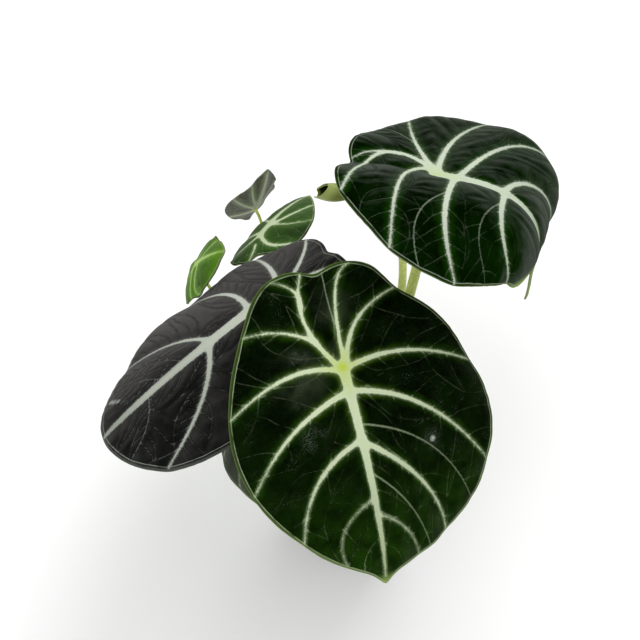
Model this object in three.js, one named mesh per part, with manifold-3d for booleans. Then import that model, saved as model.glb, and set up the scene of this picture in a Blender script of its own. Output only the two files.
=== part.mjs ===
// A potted ninja alocasia: shield leaves on long stalks that rise from a sheathed corm,
// potting mix with plain holes for corm and roots, and a plain tapered nursery pot.
// Millimetres, +Z up. The origin is the middle of the pot's flat base.
import * as THREE from "three";
import { mergeVertices } from "three/addons/utils/BufferGeometryUtils.js";
import Module from "manifold-3d";

// Pot and mix
const POT_HEIGHT = 82;
const POT_RIM_RADIUS = 45;
const POT_BASE_RADIUS = 32;
const POT_WALL = 1.6;
const RIM_BAND = 11;
const RIM_PROUD = 1.4;
const DRAIN_HOLES = 6;
const DRAIN_RADIUS = 4;
const DRAIN_RING = 21;
const SOIL_TOP = 71;
const SOIL_LUMP = 1.3;
const GAP = 0.35;

// Corm and crown
const CROWN_TOP = 84;
const CROWN_RADIUS = 11.5;
const CORM_BOTTOM = 44;
const STALK_RING = 8.2;
const STALK_DEPTH = 11;
const ROOTS = 7;
const ROOT_RADIUS = 1.5;
const ROOT_REACH = 24;

// Blades
const BLADE_THICKNESS = 0.9;
const RIM_ROLL = 0.9;
const RIM_ROLL_WIDTH = 2.2;
const FURROW_DEPTH = 1.0;
const FURROW_WIDTH = 7;
const LOBES_IN_WAVE = 7;
const WAVE_START = 1.3;
const NOTCH_WIDTH = 9;
const VEIN_REACH = 0.94;
const KNOT_STEP = 30;
const STEPS_ALONG = 24;

// A blade lies in leaf coordinates: s runs along the midrib from the stalk, + to the tip,
// and t across it, + to the left. The radii are given each 30 degrees, from beside the tip
// to beside the back lobes. Droop bends the midrib down, evenly and growing to the tip.
// Fold is the slope beside the midrib, curl how far each half turns down at halfWidth.
// A vein is its start on the midrib (or a side branch's start), its end round the margin in
// degrees, its bow and the place of the bow.
const BLADES = [
  {
    name: "front",
    at: [-9, -33, 192.5],
    yaw: -70,
    pitch: -36,
    roll: 9,
    length: 99,
    halfWidth: 50,
    droop: [13, 16],
    sway: 0,
    fold: [1, 1],
    curl: [9, 12],
    curlTip: [-3, 0],
    tip: 97,
    left: [95, 82, 63, 49, 49],
    right: [79, 65, 52.5, 47, 50],
    back: 46,
    tail: 7,
    tailWidth: 6,
    notch: 3,
    wave: 1.1,
    spokes: 56,
    rings: 7,
    stalk: { ring: -80, radius: 2.4, rise: 45, arch: [0, -14, 146] },
    veins: [
      [0, -1, -157, 0.08, 0.3],
      [-13.5, -9, -121, -0.2, 0.5],
      [1.5, -1, -80.5, -0.26, 0.4],
      [11, 0, -50, -0.21, 0.5],
      [33, 0, -26, -0.34, 0.5],
      [60, 0, -11, -0.5, 0.6],
      [5, 1, 159, 0.25, 0.9],
      [-2.5, 3, 127, 0.32, 0.41],
      [1, 1, 78.5, 0.19, 0.43],
      [11, 0, 45.5, 0.23, 0.43],
      [34, 0, 21.5, 0.22, 0.6],
      [68, 0, 11, 0.25, 0.5],
    ],
  },
  {
    name: "left",
    at: [-40.5, 46.5, 155.5],
    yaw: -137,
    pitch: -5,
    roll: -22,
    length: 116,
    halfWidth: 48,
    droop: [8, 11],
    sway: -10,
    fold: [1, 4],
    curl: [8, 15],
    curlTip: [-11, 1],
    tip: 115.5,
    left: [111.5, 85, 61, 48, 38],
    right: [97, 84, 72, 58, 48],
    back: 37.5,
    tail: 2,
    tailWidth: 12,
    notch: 2,
    wave: 1.1,
    spokes: 56,
    rings: 7,
    stalk: { ring: 190, radius: 2.3, rise: 30, under: 35 },
    veins: [
      [0, 0, -110, -0.09, 0.5],
      [-8, 0, -149, -0.1, 0.7],
      [20, 0, -67, -0.27, 0.5],
      [45, 0, -27, -0.25, 0.5],
      [76, 0, -13, -0.25, 0.5],
      [0, 0, 150, 0.1, 0.6],
      [0, 0, 110, 0.1, 0.5],
      [18, 0, 62, 0.25, 0.5],
      [47, 0, 26, 0.2, 0.5],
      [87, 0, 14, 0.29, 0.5],
    ],
  },
  {
    name: "right",
    at: [37, 62, 220],
    yaw: -14.5,
    pitch: -1,
    roll: 23,
    length: 77.5,
    halfWidth: 50,
    droop: [-14, 133],
    sway: -1,
    fold: [-8.5, -2.5],
    curl: [1.5, 22],
    curlTip: [-4, 10],
    tip: 69,
    left: [80.5, 78.5, 71.5, 59, 51.5],
    right: [84.5, 82, 74, 59, 52],
    back: 45.5,
    tail: 26,
    tailWidth: 3,
    notch: 3,
    wave: 1.3,
    spokes: 56,
    rings: 7,
    stalk: { ring: -20, radius: 2.8, rise: 45, under: 75 },
    veins: [
      [-1, 3, -98.5, -0.34, -0.1],
      [7, -20, -87, -0.29, 0.5],
      [9, -2, -72, -0.2, 0.65],
      [34, 0, -38, -0.5, 0.7],
      [33, -14, -56, -0.46, 0.6],
      [-2, 4, -138, -0.93, -0.05],
      [-21, 15, 175, -0.29, 0.45],
      [-1, 4, 112, 0.1, 0.5],
      [-14, 29, 128, -0.1, 0.5],
      [0, 3, 77, 0.18, 0.6],
      [10, 0, 54, 0.21, 0.8],
      [33, 0, 31, 0.31, 0.5],
    ],
  },
  {
    name: "back",
    at: [-54.5, 120.5, 120],
    yaw: 60,
    pitch: 8,
    roll: 28,
    length: 47,
    halfWidth: 25,
    droop: [29, 0],
    sway: 0,
    fold: [6, 6],
    curl: [38, 17],
    curlTip: [0, 0],
    tip: 45,
    left: [35, 30, 31.5, 26, 24],
    right: [37, 30.5, 25.5, 20, 18],
    back: 25,
    tail: 4,
    tailWidth: 6,
    notch: 1.5,
    wave: 0.6,
    spokes: 30,
    rings: 4,
    stalk: { ring: 112, radius: 1.6, rise: 12, arch: [-42, 108, 92] },
    veins: [
      [8, -1, -17, -0.12, 0.5],
      [-1, -2, -88, -0.45, 0.4],
      [-8, -2, -165, 0.1, 0.5],
      [10, 0, -45, -0.25, 0.5],
      [0, 0, 140, 0.1, 0.5],
      [2, 0, 80, 0.2, 0.5],
      [12, 0, 35, 0.25, 0.5],
    ],
  },
  {
    name: "far",
    at: [-59.5, 153, 110.5],
    yaw: -35,
    pitch: 64,
    roll: 15,
    length: 33,
    halfWidth: 27.5,
    droop: [-18, 0],
    sway: 0,
    fold: [-16, -13],
    curl: [-12, -18],
    curlTip: [0, 0],
    tip: 34,
    left: [24.5, 20, 20.5, 18, 14.5],
    right: [25.5, 23, 20, 15.5, 13],
    back: 14,
    tail: 4,
    tailWidth: 6,
    notch: 1,
    wave: 0.4,
    spokes: 30,
    rings: 4,
    stalk: { ring: 84, radius: 1.1, rise: 12, arch: [-46, 146, 72] },
    veins: [
      [3, 0, -18, -0.08, 0.5],
      [3, -2, -50, -0.1, 0.5],
      [0, 0, -110, -0.1, 0.5],
      [3, 0, 30, 0.2, 0.5],
      [0, 0, 90, 0.1, 0.5],
    ],
  },
  {
    name: "side",
    at: [-92, 103.5, 113],
    yaw: -41,
    pitch: 57,
    roll: -25,
    length: 36,
    halfWidth: 25,
    droop: [24, 0],
    sway: 0,
    fold: [3, 11],
    curl: [13, 16],
    curlTip: [0, 0],
    tip: 33,
    left: [23, 20.5, 20, 20, 15.5],
    right: [29.5, 26, 21.5, 24, 14.5],
    back: 14.5,
    tail: 1.5,
    tailWidth: 6,
    notch: 1,
    wave: 0.5,
    spokes: 30,
    rings: 4,
    stalk: { ring: 142, radius: 1.1, rise: 8, arch: [-80, 90, 82] },
    veins: [
      [-4, -2, -94, -0.15, 0.5],
      [5, -1, -59, -0.55, 0.75],
      [0, 0, -150, -0.1, 0.5],
      [0, 0, 140, 0.1, 0.5],
      [2, 0, 80, 0.2, 0.5],
      [8, 0, 35, 0.25, 0.5],
    ],
  },
  {
    name: "low",
    at: [-48.5, -1, 107.5],
    yaw: -80,
    pitch: -25,
    roll: -25,
    length: 55,
    halfWidth: 25,
    droop: [25, 0],
    sway: 0,
    fold: [4, 4],
    curl: [12, 14],
    curlTip: [0, 0],
    tip: 52,
    left: [44, 36, 29, 24, 22],
    right: [44, 36, 29, 24, 22],
    back: 20,
    tail: 4,
    tailWidth: 6,
    notch: 1.5,
    wave: 0.6,
    spokes: 30,
    rings: 4,
    stalk: { ring: 238, radius: 1.8, rise: 12, under: 14 },
    veins: [
      [0, 0, 140, 0.1, 0.5],
      [2, 0, 80, 0.2, 0.5],
      [14, 0, 35, 0.25, 0.5],
      [0, 0, -140, -0.1, 0.5],
      [2, 0, -80, -0.2, 0.5],
      [14, 0, -35, -0.25, 0.5],
    ],
  },
];

// The youngest leaf, still rolled up, with its open end at the left.
const ROLLED = {
  tip: [-22, 161.5, 116],
  waist: [-10.5, 154.5, 123.5],
  heel: [1, 147, 127],
  tipRadius: 3.6,
  waistRadius: 6.2,
  heelRadius: 2.4,
  mouthDepth: 7,
  mouthLift: [0, -1.6, 1.9],
  wall: 1.0,
  stalk: { ring: 38, radius: 2.4, rise: 40, lead: 70 },
};

const wasm = await Module();
wasm.setup();
const RAD = Math.PI / 180;
const v3 = (x, y, z) => new THREE.Vector3(x, y, z);

function geometryOf(positions, indices) {
  const geometry = new THREE.BufferGeometry();
  geometry.setAttribute("position", new THREE.Float32BufferAttribute(positions, 3));
  geometry.setIndex(indices);
  return geometry;
}

function toSolid(geometry) {
  const clean = geometry.clone();
  clean.deleteAttribute("normal");
  clean.deleteAttribute("uv");
  const merged = mergeVertices(clean, 1e-3);
  return new wasm.Manifold(
    new wasm.Mesh({
      numProp: 3,
      vertProperties: new Float32Array(merged.attributes.position.array),
      triVerts: new Uint32Array(merged.index.array),
    }),
  );
}

function fromSolid(solid) {
  const mesh = solid.getMesh();
  const positions = [];
  for (let i = 0; i < mesh.numVert; i++) {
    const at = i * mesh.numProp;
    positions.push(...mesh.vertProperties.subarray(at, at + 3));
  }
  return geometryOf(positions, Array.from(mesh.triVerts));
}

// What is left of a stalk above its blade is dropped.
function largest(solid) {
  return solid.decompose().reduce((a, b) => (a.volume() > b.volume() ? a : b));
}

function meshOf(name, geometry, color, roughness) {
  const material = new THREE.MeshStandardMaterial({ color, roughness, metalness: 0 });
  const mesh = new THREE.Mesh(geometry, material);
  mesh.name = name;
  return mesh;
}

// Distance from the stalk's joint to the margin, at an angle round the blade from the tip.
function marginRadius(blade, angle) {
  const knots = [blade.tip, ...blade.left, blade.back, ...[...blade.right].reverse()];
  const turn = ((angle % (2 * Math.PI)) + 2 * Math.PI) % (2 * Math.PI);
  const place = turn / (KNOT_STEP * RAD);
  const first = Math.floor(place);
  const u = place - first;
  const [a, b, c, d] = [-1, 0, 1, 2].map((step) => knots[(first + step + 12) % 12]);
  const curve =
    0.5 * (2 * b + (c - a) * u + (2 * a - 5 * b + 4 * c - d) * u * u + (3 * b - a - 3 * c + d) * u ** 3);
  const fromTip = Math.min(turn, 2 * Math.PI - turn) / (blade.tailWidth * RAD);
  const fromBack = Math.abs(turn - Math.PI) / (NOTCH_WIDTH * RAD);
  return curve + blade.tail * Math.exp(-(fromTip ** 1.5)) - blade.notch * Math.exp(-(fromBack ** 2));
}

function bladeFrame(blade) {
  const [yaw, pitch, roll] = [blade.yaw * RAD, blade.pitch * RAD, blade.roll * RAD];
  const along = v3(Math.cos(yaw) * Math.cos(pitch), Math.sin(yaw) * Math.cos(pitch), Math.sin(pitch));
  const up = v3(-Math.cos(yaw) * Math.sin(pitch), -Math.sin(yaw) * Math.sin(pitch), Math.cos(pitch));
  const across = up.clone().cross(along);
  const normal = up.clone().multiplyScalar(Math.cos(roll)).addScaledVector(across, Math.sin(roll));
  const left = across.multiplyScalar(Math.cos(roll)).addScaledVector(up, -Math.sin(roll));
  return { along, left, normal };
}

// The bent sheet before its relief: the midrib is followed in short steps, then the half's
// cross-section turns down along an arc. The tail past the tip goes on straight.
function bladeSheet(blade, s, t) {
  const { along, left, normal } = bladeFrame(blade);
  const point = v3(...blade.at);
  const bend = (x) => {
    const drooped = Math.min(Math.max(x, 0), blade.tip / blade.length);
    return (blade.droop[0] * drooped + blade.droop[1] * drooped ** 2) * RAD;
  };
  const lean = (x) => blade.sway * x * RAD;
  for (let i = 0; i < STEPS_ALONG; i++) {
    const x = (s * (i + 0.5)) / STEPS_ALONG / blade.length;
    const step = s / STEPS_ALONG;
    point.addScaledVector(along, Math.cos(lean(x)) * Math.cos(bend(x)) * step);
    point.addScaledVector(normal, -Math.cos(lean(x)) * Math.sin(bend(x)) * step);
    point.addScaledVector(left, Math.sin(lean(x)) * step);
  }
  const x = s / blade.length;
  const forward = along.clone().multiplyScalar(Math.cos(bend(x))).addScaledVector(normal, -Math.sin(bend(x)));
  const up = normal.clone().multiplyScalar(Math.cos(bend(x))).addScaledVector(along, Math.sin(bend(x)));
  const side = left.clone().multiplyScalar(Math.cos(lean(x))).addScaledVector(forward, -Math.sin(lean(x)));
  const half = t >= 0 ? 0 : 1;
  const slope = blade.fold[half] * RAD;
  const turn = ((blade.curl[half] + blade.curlTip[half] * x) * RAD) / blade.halfWidth || 1e-6;
  const out = (Math.sin(slope + turn * Math.abs(t)) - Math.sin(slope)) / turn;
  const down = (Math.cos(slope) - Math.cos(slope + turn * Math.abs(t))) / turn;
  return point.addScaledVector(side, Math.sign(t) * out).addScaledVector(up, -down);
}

function veinPoint(blade, vein, u) {
  const [startS, startT, end, bow, hold] = vein;
  const reach = VEIN_REACH * marginRadius(blade, end * RAD);
  const ds = reach * Math.cos(end * RAD) - startS;
  const dt = reach * Math.sin(end * RAD) - startT;
  const bowS = startS + hold * ds - bow * dt;
  const bowT = startT + hold * dt + bow * ds;
  const [a, b, c] = [(1 - u) ** 2, 2 * u * (1 - u), u * u];
  return [a * startS + b * bowS + c * (startS + ds), a * startT + b * bowT + c * (startT + dt)];
}

function veinPoints(blade) {
  const points = [];
  for (let i = -6; i <= 16; i++) points.push([(blade.tip * i) / 16, 0]);
  for (const vein of blade.veins) {
    for (let i = 0; i <= 16; i++) points.push(veinPoint(blade, vein, i / 16));
  }
  return points.filter(([s]) => s > -0.8 * blade.back);
}

// Furrows along the main veins, low pillows between them, a waved edge and a rolled rim.
function relief(blade, veins, s, t, q, angle) {
  const scale = blade.halfWidth / 50;
  const nearest = Math.min(...veins.map(([a, b]) => Math.hypot(a - s, b - t)));
  const pillow = 1 - Math.exp(-((nearest / (FURROW_WIDTH * scale)) ** 2));
  const toMargin = (1 - q) * marginRadius(blade, angle);
  const wave = blade.wave * q ** 3 * Math.sin(LOBES_IN_WAVE * angle + WAVE_START);
  const roll = RIM_ROLL * scale * Math.exp(-toMargin / RIM_ROLL_WIDTH);
  return FURROW_DEPTH * scale * (pillow - 0.5) + wave - roll;
}

function bladeNormal(blade, s, t) {
  const step = 0.5;
  const ds = bladeSheet(blade, s + step, t).sub(bladeSheet(blade, s - step, t));
  const dt = bladeSheet(blade, s, t + step).sub(bladeSheet(blade, s, t - step));
  return ds.cross(dt).normalize();
}

// One thin closed shell: a fan of spokes and rings, the same triangles on both faces.
function bladeGeometry(blade, thickness = BLADE_THICKNESS) {
  const { spokes, rings } = blade;
  const veins = veinPoints(blade);
  const faces = [[], []];
  const add = (s, t, q, angle) => {
    const normal = bladeNormal(blade, s, t);
    const middle = bladeSheet(blade, s, t).addScaledVector(normal, relief(blade, veins, s, t, q, angle));
    faces[0].push(middle.clone().addScaledVector(normal, thickness / 2).toArray());
    faces[1].push(middle.clone().addScaledVector(normal, -thickness / 2).toArray());
  };
  add(0, 0, 0, 0);
  for (let ring = 1; ring <= rings; ring++) {
    for (let spoke = 0; spoke < spokes; spoke++) {
      const turn = (2 * spoke) / spokes - 1;
      const angle = Math.PI * Math.sign(turn) * Math.abs(turn) ** 1.2;
      const q = ring / rings;
      const radius = q * marginRadius(blade, angle);
      add(radius * Math.cos(angle), radius * Math.sin(angle), q, angle);
    }
  }
  const count = faces[0].length;
  const id = (ring, spoke) => (ring === 0 ? 0 : 1 + (ring - 1) * spokes + ((spoke + spokes) % spokes));
  const indices = [];
  const triangle = (a, b, c) => {
    indices.push(a, b, c);
    indices.push(count + a, count + c, count + b);
  };
  for (let spoke = 0; spoke < spokes; spoke++) {
    triangle(0, id(1, spoke), id(1, spoke + 1));
    for (let ring = 1; ring < rings; ring++) {
      const [a, b] = [id(ring, spoke), id(ring, spoke + 1)];
      const [c, d] = [id(ring + 1, spoke + 1), id(ring + 1, spoke)];
      if ((ring + spoke) % 2) {
        triangle(a, d, c);
        triangle(a, c, b);
      } else {
        triangle(a, d, b);
        triangle(d, c, b);
      }
    }
    const [a, b] = [id(rings, spoke), id(rings, spoke + 1)];
    indices.push(a, count + b, b);
    indices.push(a, count + a, count + b);
  }
  return geometryOf([...faces[0], ...faces[1]].flat(), indices);
}

// A closed tapered tube along a curve, its rings turned as little as possible.
function tubeGeometry(curve, radiusAt, steps, sides, longer = 0) {
  const positions = [];
  const indices = [];
  let across = null;
  for (let i = 0; i <= steps; i++) {
    const u = i / steps;
    const tangent = curve.getTangent(u);
    const start = Math.abs(tangent.x) < 0.8 ? v3(1, 0, 0) : v3(0, 1, 0);
    across = (across ?? start).addScaledVector(tangent, -(across ?? start).dot(tangent)).normalize();
    const other = tangent.clone().cross(across);
    const centre = curve.getPoint(u).addScaledVector(tangent, i === 0 ? -longer : i === steps ? longer : 0);
    for (let k = 0; k < sides; k++) {
      const angle = (2 * Math.PI * k) / sides;
      const rim = centre.clone().addScaledVector(across, radiusAt(u) * Math.cos(angle));
      positions.push(...rim.addScaledVector(other, radiusAt(u) * Math.sin(angle)).toArray());
    }
  }
  const first = positions.length / 3;
  for (const [u, way] of [[0, -longer], [1, longer]]) {
    positions.push(...curve.getPoint(u).addScaledVector(curve.getTangent(u), way).toArray());
  }
  for (let k = 0; k < sides; k++) {
    const next = (k + 1) % sides;
    for (let i = 0; i < steps; i++) {
      const [a, b] = [i * sides + k, i * sides + next];
      indices.push(a, b, b + sides);
      indices.push(a, b + sides, a + sides);
    }
    indices.push(first, next, k);
    indices.push(first + 1, steps * sides + k, steps * sides + next);
  }
  return geometryOf(positions, indices);
}

function stalkBase(stalk) {
  const angle = stalk.ring * RAD;
  return v3(STALK_RING * Math.cos(angle), STALK_RING * Math.sin(angle), CROWN_TOP - STALK_DEPTH);
}

// Each stalk stands straight in the crown, leans out, and meets the blade's underside.
function bladeStalkCurve(blade) {
  const { normal } = bladeFrame(blade);
  const veins = veinPoints(blade);
  const top = v3(...blade.at).addScaledVector(normal, relief(blade, veins, 0, 0, 0, 0));
  const base = stalkBase(blade.stalk);
  const above = base.clone().setZ(CROWN_TOP + blade.stalk.rise);
  const { arch, under } = blade.stalk;
  const below = arch ? v3(...arch) : top.clone().addScaledVector(normal, -under);
  return new THREE.CubicBezierCurve3(base, above, below, top);
}

function stalkRadius(radius) {
  return (u) => radius * (1.08 - 0.2 * u);
}

function stalkGeometry(curve, radius, spare = 0) {
  const taper = stalkRadius(radius);
  return tubeGeometry(curve, (u) => taper(u) + spare, 12, 7, spare);
}

function rolledCurve() {
  return new THREE.QuadraticBezierCurve3(v3(...ROLLED.tip), v3(...ROLLED.waist), v3(...ROLLED.heel));
}

// The rolled blade is a spindle. Its mouth is cut aslant, open upward and to the front.
function rolledGeometry() {
  const curve = rolledCurve();
  const { tipRadius, waistRadius, heelRadius, wall, mouthDepth } = ROLLED;
  const radiusAt = (u) => {
    const ends = tipRadius + (heelRadius - tipRadius) * u;
    return ends + (waistRadius - (tipRadius + heelRadius) / 2) * Math.sin(Math.PI * u);
  };
  const spindle = toSolid(tubeGeometry(curve, radiusAt, 10, 12));
  const mouth = new THREE.LineCurve3(
    curve.getPoint(0).addScaledVector(curve.getTangent(0), -1).add(v3(...ROLLED.mouthLift)),
    curve.getPoint(0).addScaledVector(curve.getTangent(0), mouthDepth),
  );
  const hollow = toSolid(tubeGeometry(mouth, (u) => (tipRadius - wall) * (1.1 - 0.5 * u), 2, 12));
  return fromSolid(spindle.subtract(hollow));
}

function rolledStalkCurve() {
  const tangent = rolledCurve().getTangent(1);
  const heel = rolledCurve().getPoint(1).addScaledVector(tangent, GAP);
  const base = stalkBase(ROLLED.stalk);
  const above = base.clone().setZ(CROWN_TOP + ROLLED.stalk.rise);
  const arch = heel.clone().addScaledVector(tangent, ROLLED.stalk.lead);
  return new THREE.CubicBezierCurve3(base, above, arch, heel);
}

function latheSolid(profile, segments) {
  const points = profile.map(([r, z]) => new THREE.Vector2(r, z));
  const lathe = new THREE.LatheGeometry(points, segments);
  lathe.rotateX(Math.PI / 2);
  return toSolid(lathe);
}

function potRadius(z) {
  return POT_BASE_RADIUS + ((POT_RIM_RADIUS - RIM_PROUD - POT_BASE_RADIUS) * z) / POT_HEIGHT;
}

// Tapered wall with a turned-out rim band, a flat floor and drain holes round its middle.
function potGeometry() {
  const band = POT_HEIGHT - RIM_BAND;
  const profile = [
    [0, 0],
    [POT_BASE_RADIUS - 1.5, 0],
    [POT_BASE_RADIUS, 1.5],
    [potRadius(band), band],
    [potRadius(band) + RIM_PROUD, band + 0.5],
    [POT_RIM_RADIUS, POT_HEIGHT - 0.8],
    [POT_RIM_RADIUS - 0.8, POT_HEIGHT],
    [potRadius(POT_HEIGHT) - POT_WALL + 0.5, POT_HEIGHT],
    [potRadius(POT_HEIGHT - 0.8) - POT_WALL, POT_HEIGHT - 0.8],
    [potRadius(POT_WALL + 1) - POT_WALL, POT_WALL + 1],
    [potRadius(POT_WALL) - POT_WALL - 1, POT_WALL],
    [0, POT_WALL],
  ];
  let pot = latheSolid(profile, 40);
  for (let i = 0; i < DRAIN_HOLES; i++) {
    const angle = (2 * Math.PI * i) / DRAIN_HOLES;
    const hole = new THREE.CylinderGeometry(DRAIN_RADIUS, DRAIN_RADIUS, 4 * POT_WALL, 12);
    hole.rotateX(Math.PI / 2);
    hole.translate(DRAIN_RING * Math.cos(angle), DRAIN_RING * Math.sin(angle), 0);
    pot = pot.subtract(toSolid(hole));
  }
  return fromSolid(pot);
}

// Corm with its sheathed crown and thick roots. Spare makes it larger for its hole.
function cormSolid(spare) {
  const profile = [
    [0, CORM_BOTTOM - spare],
    [5 + spare, CORM_BOTTOM + 1 - spare],
    [10.5 + spare, CORM_BOTTOM + 9],
    [CROWN_RADIUS + 0.8 + spare, CORM_BOTTOM + 20],
    [CROWN_RADIUS + spare, SOIL_TOP + 1],
    [CROWN_RADIUS + spare, CROWN_TOP - 1.5 + spare],
    [CROWN_RADIUS - 1 + spare, CROWN_TOP + spare],
    [3.5, CROWN_TOP + 0.4 + spare],
    [0, CROWN_TOP + 4 + spare],
  ];
  let corm = latheSolid(profile, 20);
  for (let i = 0; i < ROOTS; i++) {
    const angle = (2 * Math.PI * (i + 0.25)) / ROOTS;
    const out = v3(Math.cos(angle), Math.sin(angle), 0);
    const reach = ROOT_REACH - 3 * (i % 3);
    const start = v3(0, 0, CORM_BOTTOM + 8 + (i % 2) * 4).addScaledVector(out, 6);
    const knee = start.clone().addScaledVector(out, reach * 0.7);
    const end = v3(0, 0, 12 + 5 * (i % 3)).addScaledVector(out, reach - 2);
    const root = new THREE.QuadraticBezierCurve3(start, knee, end);
    corm = corm.add(toSolid(tubeGeometry(root, (u) => ROOT_RADIUS * (1.2 - 0.5 * u) + spare, 5, 5, spare)));
  }
  return corm;
}

function soilHeight(radius, angle) {
  const lumps = Math.sin(0.31 * radius + 3 * angle) + Math.sin(5 * angle - 0.47 * radius + 1);
  return SOIL_TOP + (SOIL_LUMP / 2) * lumps * Math.sin(Math.min(1, radius / 6));
}

// The mix fills the pot, with a lumpy top and a rounded lower edge.
function soilSolid() {
  const segments = 40;
  const rings = 6;
  const inside = (z) => potRadius(z) - POT_WALL - GAP;
  const rows = [];
  for (let i = 1; i <= rings; i++) {
    const radius = (inside(SOIL_TOP - 2) * i) / rings;
    rows.push((angle) => [radius, soilHeight(radius, angle)]);
  }
  rows.push(() => [inside(SOIL_TOP - 3), SOIL_TOP - 3]);
  rows.push(() => [inside(4), 4]);
  rows.push(() => [inside(4) - 2, POT_WALL + GAP]);
  const positions = [0, 0, soilHeight(0, 0)];
  for (const row of rows) {
    for (let k = 0; k < segments; k++) {
      const angle = (2 * Math.PI * k) / segments;
      const [radius, z] = row(angle);
      positions.push(radius * Math.cos(angle), radius * Math.sin(angle), z);
    }
  }
  positions.push(0, 0, POT_WALL + GAP);
  const last = positions.length / 3 - 1;
  const indices = [];
  for (let k = 0; k < segments; k++) {
    const next = (k + 1) % segments;
    indices.push(0, 1 + k, 1 + next);
    for (let i = 0; i < rows.length - 1; i++) {
      const [a, b] = [1 + i * segments + k, 1 + i * segments + next];
      indices.push(a, a + segments, b + segments);
      indices.push(a, b + segments, b);
    }
    const low = 1 + (rows.length - 1) * segments;
    indices.push(last, low + next, low + k);
  }
  return toSolid(geometryOf(positions, indices));
}

const COLORS = {
  front: 0x0d2606,
  left: 0x2a2c2c,
  right: 0x16300c,
  back: 0x2d4b19,
  far: 0x4c523c,
  side: 0x4f7d1c,
  low: 0x353c32,
};

const plant = new THREE.Group();
plant.add(meshOf("pot", potGeometry(), 0x2b2b2b, 0.55));
plant.add(meshOf("soil", fromSolid(soilSolid().subtract(cormSolid(GAP))), 0x3a2a1c, 0.95));

let corm = cormSolid(0);
const stalks = BLADES.map((blade) => ({
  name: blade.name,
  curve: bladeStalkCurve(blade),
  radius: blade.stalk.radius,
  roof: toSolid(bladeGeometry(blade, BLADE_THICKNESS + 2 * GAP)),
}));
const rolledStalk = { name: "rolled", curve: rolledStalkCurve(), radius: ROLLED.stalk.radius };
for (const stalk of [...stalks, rolledStalk]) {
  corm = corm.subtract(toSolid(stalkGeometry(stalk.curve, stalk.radius, GAP)));
  let solid = toSolid(stalkGeometry(stalk.curve, stalk.radius));
  if (stalk.roof) solid = largest(solid.subtract(stalk.roof));
  plant.add(meshOf("stalk_" + stalk.name, fromSolid(solid), 0x9aa85a, 0.5));
}
plant.add(meshOf("corm", fromSolid(corm), 0x8a7a4e, 0.7));
for (const blade of BLADES) {
  plant.add(meshOf("leaf_" + blade.name, bladeGeometry(blade), COLORS[blade.name], 0.6));
}
plant.add(meshOf("leaf_rolled", rolledGeometry(), 0x8c9448, 0.5));

export default plant;
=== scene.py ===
# %% [markdown]
# # A potted ninja alocasia
#
# Shield leaves with pale veins stand on long stalks in a small nursery pot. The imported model
# holds every piece at its size and place. This lesson gives each piece its finish, and replaces
# the coarse solids with finer meshes that follow the same forms.

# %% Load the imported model
import math
import random

import bmesh
import bpy
import numpy as np
from mathutils import Euler, Matrix, Vector


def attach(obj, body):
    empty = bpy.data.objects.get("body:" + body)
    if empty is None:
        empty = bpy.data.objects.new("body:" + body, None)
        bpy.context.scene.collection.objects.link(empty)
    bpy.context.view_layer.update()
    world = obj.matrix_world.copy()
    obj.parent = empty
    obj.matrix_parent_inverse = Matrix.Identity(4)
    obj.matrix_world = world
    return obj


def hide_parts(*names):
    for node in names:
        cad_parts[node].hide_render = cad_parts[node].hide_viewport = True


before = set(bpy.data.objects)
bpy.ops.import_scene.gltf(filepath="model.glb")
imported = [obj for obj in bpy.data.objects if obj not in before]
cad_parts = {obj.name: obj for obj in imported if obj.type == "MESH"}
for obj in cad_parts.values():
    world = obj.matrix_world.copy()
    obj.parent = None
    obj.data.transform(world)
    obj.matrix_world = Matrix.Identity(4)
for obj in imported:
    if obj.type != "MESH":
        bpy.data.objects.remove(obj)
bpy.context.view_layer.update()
scene = bpy.context.scene
MM = 0.001


def link(name, data):
    piece = bpy.data.objects.new(name, data)
    scene.collection.objects.link(piece)
    return piece


# %% [markdown]
# The camera looks down at fifty degrees from the front, as the photograph does. Its lens and
# place come first, because everything else is judged through it.

# %% Camera
CAMERA_PLACE = (-19.0 * MM, -303.6 * MM, 547.2 * MM)
CAMERA_DOWN = 50
FRAME_PIXELS = 640
PIXELS_PER_TANGENT = 1012
SENSOR_WIDTH = 36


def add_camera():
    data = bpy.data.cameras.new("camera")
    data.sensor_width = SENSOR_WIDTH
    data.lens = SENSOR_WIDTH * PIXELS_PER_TANGENT / FRAME_PIXELS
    camera = link("camera", data)
    camera.location = CAMERA_PLACE
    camera.rotation_euler = (math.radians(90 - CAMERA_DOWN), 0, 0)
    scene.camera = camera
    print("lens", round(data.lens, 1), "mm")


add_camera()

# %% [markdown]
# Light comes from a large soft panel above and behind, which makes the velvet of the blades
# glow at a flat angle, and from a weaker one at the front. A white sky fills the shadows.

# %% Light
def add_panel(name, place, target, size, power):
    data = bpy.data.lights.new(name, "AREA")
    data.shape = "DISK"
    data.size = size
    data.energy = power
    panel = link(name, data)
    panel.location = place
    panel.rotation_euler = (Vector(target) - Vector(place)).to_track_quat("-Z", "Y").to_euler()
    print(name, "panel", power, "W")


def add_studio():
    add_panel("window", (0.35, 0.75, 1.0), (0, 0.05, 0.12), 0.8, 7)
    add_panel("front", (-0.55, -0.8, 0.9), (0, 0, 0.15), 0.8, 5)
    world = bpy.data.worlds.new("studio")
    world.use_nodes = True
    sky = world.node_tree.nodes["Background"].inputs
    sky["Color"].default_value = (1, 1, 1, 1)
    sky["Strength"].default_value = 0.75
    scene.world = world
    scene.view_settings.view_transform = "Standard"


add_studio()

# %% [markdown]
# Shader maths is easier to read as sums than as boxes and wires. A small class wraps a socket,
# and each operator on it adds one Math node. A second class holds a material and adds the rest.
# Leaf finishes read their place on the flat blade from a UV map, 0.01 of a unit a millimetre.

# %% Shader values
LEAF_UV = 0.01


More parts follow.
